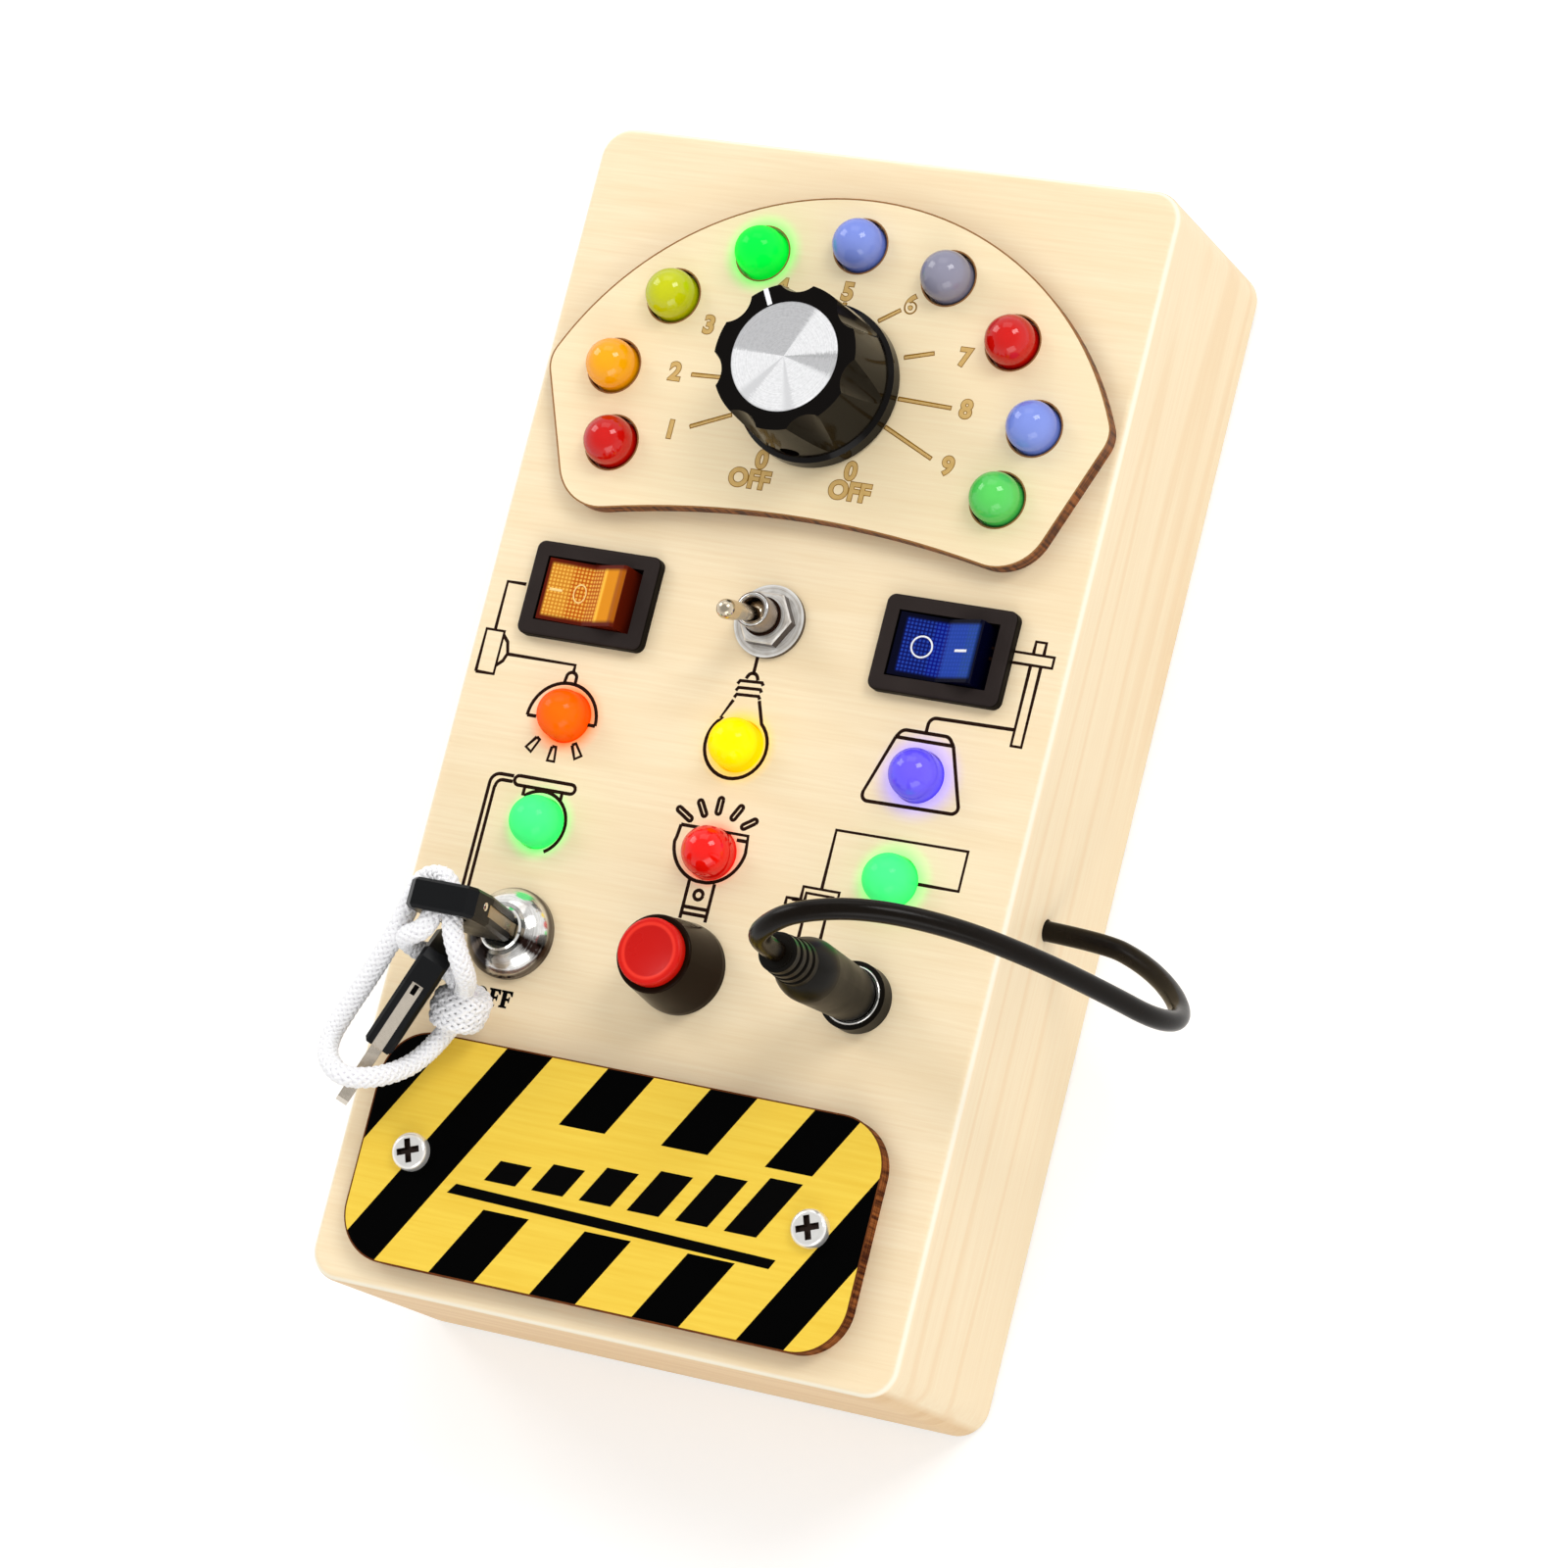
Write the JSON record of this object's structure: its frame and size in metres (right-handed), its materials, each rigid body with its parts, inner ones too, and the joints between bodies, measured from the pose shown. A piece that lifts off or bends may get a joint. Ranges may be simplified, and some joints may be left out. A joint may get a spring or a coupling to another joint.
{
  "type": "busy board",
  "caption": "Shallow wooden box busy board with a rotary dial ringed by lamps, rocker and toggle switches, key lock with keys on a cord, push button, and a supply plug on a lead",
  "frame": {"origin": "centre of the back cover's outer face, on which the board rests", "axes": "+X across the board to the plug's side, +Y up the board towards the dial, +Z out of the face"},
  "size_m": [0.1317, 0.189, 0.0882],
  "materials": {
    "panel_wood": "sanded pale plywood, clear matt lacquer",
    "rail_wood": "sanded pine, clear matt lacquer",
    "cover_wood": "sanded plywood",
    "plate_wood": "laser-cut plywood with browned edges",
    "hazard_paint": "black and yellow printed stripes on plywood",
    "screw_steel": "zinc plated",
    "bakelite": "polished black",
    "spun_aluminium": "radially brushed",
    "nickel": "bright plated",
    "switch_plastic": "satin charcoal",
    "amber_lens": "translucent amber, lit",
    "blue_lens": "translucent blue",
    "led_red": "diffused epoxy",
    "led_orange": "diffused epoxy",
    "led_lime": "diffused epoxy",
    "led_green_lit": "diffused epoxy, lit",
    "led_green": "diffused epoxy",
    "led_periwinkle": "diffused epoxy",
    "led_violet": "diffused epoxy",
    "led_yellow": "diffused epoxy, lit",
    "led_blue": "diffused epoxy, lit",
    "led_mint": "diffused epoxy, lit",
    "button_red": "polished",
    "key_plastic": "satin black",
    "key_steel": "ground",
    "white_cord": "braided",
    "cable_rubber": "semi-gloss PVC",
    "plug_rubber": "satin moulded",
    "battery_jacket": "printed film, unprinted here",
    "spring_steel": "bright wire",
    "box_plastic": "moulded",
    "board_green": "solder mask",
    "wire_red": "PVC"
  },
  "bodies": {
    "root": {"front_panel": "panel_wood", "side_rail_left": "rail_wood", "side_rail_right": "rail_wood", "top_rail": "rail_wood", "bottom_rail": "rail_wood", "back_cover": "cover_wood", "back_cover_screws": "screw_steel", "dial_plate": "plate_wood", "dial_leds_red": "led_red", "dial_led_orange": "led_orange", "dial_led_lime": "led_lime", "dial_led_green_lit": "led_green_lit", "dial_leds_periwinkle": "led_periwinkle", "dial_led_violet": "led_violet", "dial_led_green": "led_green", "circuit_led_orange": "led_orange", "circuit_led_yellow": "led_yellow", "circuit_led_blue": "led_blue", "circuit_leds_green": "led_mint", "circuit_led_red": "led_red", "rotary_switch_body": "nickel", "rocker_left_housing": "switch_plastic", "rocker_right_housing": "switch_plastic", "toggle_body": "nickel", "toggle_washer": "nickel", "toggle_nut": "nickel", "lock_body": "nickel", "button_housing": "bakelite", "button_spring": "spring_steel", "jack_body": "plug_rubber", "jack_ring": "nickel", "cable": "cable_rubber", "panel_nuts": "nickel", "switch_terminals": "screw_steel", "power_plate": "hazard_paint", "power_plate_screws": "screw_steel", "battery_box": "box_plastic", "batteries": "battery_jacket", "battery_contacts": "spring_steel", "battery_door": "box_plastic", "circuit_board": "board_green", "battery_wires": "wire_red"},
    "dial": {"rotary_switch_shaft": "screw_steel", "dial_knob": "bakelite", "knob_set_screw": "screw_steel", "dial_knob_cap": "spun_aluminium"},
    "rocker_left": {"rocker_left_paddle": "amber_lens"},
    "rocker_right": {"rocker_right_paddle": "blue_lens"},
    "toggle": {"toggle_lever": "nickel"},
    "lock": {"lock_rotor": "nickel"},
    "key": {"key_bow": "key_plastic", "key_blade": "key_steel", "spare_key_bow": "key_plastic", "spare_key_blade": "key_steel", "key_cord": "white_cord", "spare_key_cord": "white_cord", "cord_knot": "white_cord"},
    "button": {"button_cap": "button_red"},
    "plug": {"plug_body": "plug_rubber", "plug_sleeve": "nickel"}
  },
  "joints": [
    {"name": "dial_turn", "type": "hinge", "parent": "root", "child": "dial", "pos_m": [0, 0.0555, 0.05], "axis": [0, 0, 1], "range_deg": [-180, 120]},
    {"name": "rocker_left_tilt", "type": "hinge", "parent": "root", "child": "rocker_left", "pos_m": [-0.0309, 0.0178, 0.04], "axis": [0, 1, 0], "range_deg": [0, 22]},
    {"name": "rocker_right_tilt", "type": "hinge", "parent": "root", "child": "rocker_right", "pos_m": [0.0298, 0.018, 0.04], "axis": [0, 1, 0], "range_deg": [0, 22]},
    {"name": "toggle_flip", "type": "hinge", "parent": "root", "child": "toggle", "pos_m": [-0.0001, 0.0184, 0.0445], "axis": [-1, 0, 0], "range_deg": [0, 24]},
    {"name": "lock_turn", "type": "hinge", "parent": "root", "child": "lock", "pos_m": [-0.0299, -0.0366, 0.04], "axis": [0, 0, 1], "range_deg": [0, 90]},
    {"name": "key_pull", "type": "slide", "parent": "lock", "child": "key", "axis": [0, 0, 1], "range_m": [0, 0.016]},
    {"name": "button_press", "type": "slide", "parent": "root", "child": "button", "axis": [0, 0, -1], "range_m": [0, 0.002], "stiffness_N_per_m": 300, "springref_m": -0.004, "deforming": ["button_spring"]},
    {"name": "plug_pull", "type": "slide", "parent": "root", "child": "plug", "axis": [0, 0, 1], "range_m": [0, 0.016], "deforming": ["cable"]}
  ]
}
